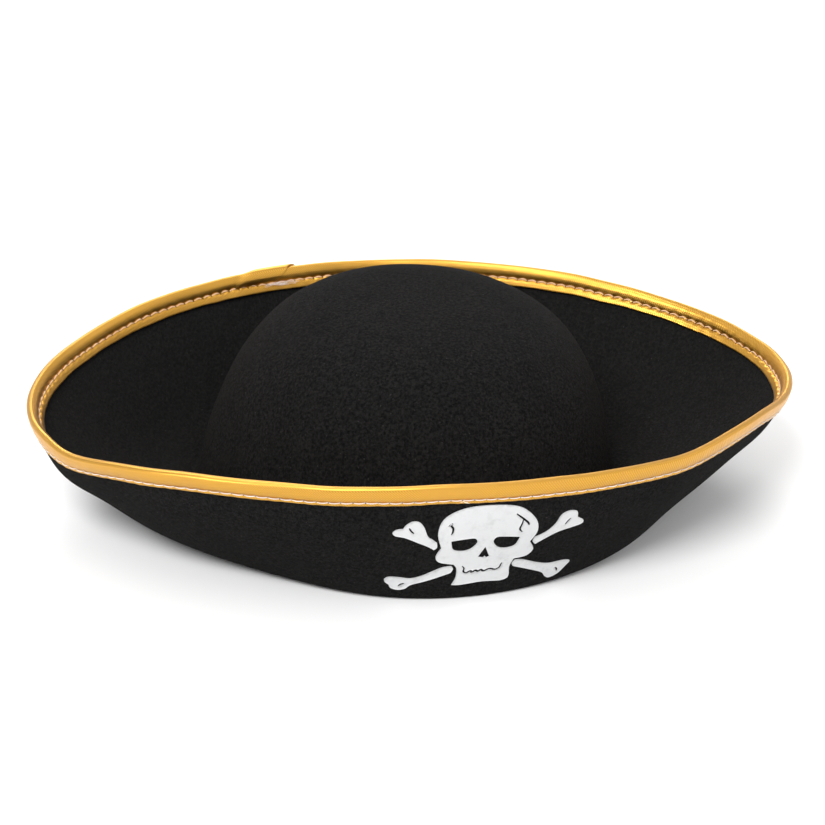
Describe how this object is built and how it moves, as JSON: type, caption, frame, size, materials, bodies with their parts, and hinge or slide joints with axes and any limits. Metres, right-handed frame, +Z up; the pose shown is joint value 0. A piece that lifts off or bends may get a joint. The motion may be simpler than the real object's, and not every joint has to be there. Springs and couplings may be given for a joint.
{
  "type": "pirate hat",
  "caption": "Black felt pirate hat: a domed crown in a turned-up pointed-oval brim with metallic edge binding and a white skull-and-bones emblem on the front.",
  "frame": {"origin": "middle of the hat's plan box, on the flat ring that it lies on", "axes": "+X from tip to tip, to the right of someone facing the emblem; the front with the emblem faces -Y; +Z up through the crown"},
  "size_m": [0.3478, 0.2335, 0.096],
  "materials": {
    "black_felt": "non-woven polyester felt with short loose fibres",
    "gold_lame_tape": "woven metallic lame, satin to shiny",
    "pale_thread": "spun polyester sewing thread",
    "white_transfer": "satin heat-transfer film",
    "black_ribbon": "ribbed grosgrain",
    "black_thread": "spun polyester sewing thread",
    "white_satin": "woven satin, no print"
  },
  "bodies": {
    "hat": {"felt_body": "black_felt", "brim_binding_tape": "gold_lame_tape", "binding_needle_thread": "pale_thread", "binding_bobbin_thread": "pale_thread", "skull_patch": "white_transfer", "bone_patch_upper_right": "white_transfer", "bone_patch_upper_left": "white_transfer", "bone_patch_lower_right": "white_transfer", "bone_patch_lower_left": "white_transfer", "sweatband": "black_ribbon", "sweatband_stitching": "black_thread", "label_stitching": "pale_thread"},
    "label": {"care_label": "white_satin"}
  },
  "joints": [
    {"name": "label_flip", "type": "hinge", "parent": "hat", "child": "label", "pos_m": [0, 0.08357, 0.03], "axis": [-1, 0, 0], "range_deg": [0, 150]}
  ]
}
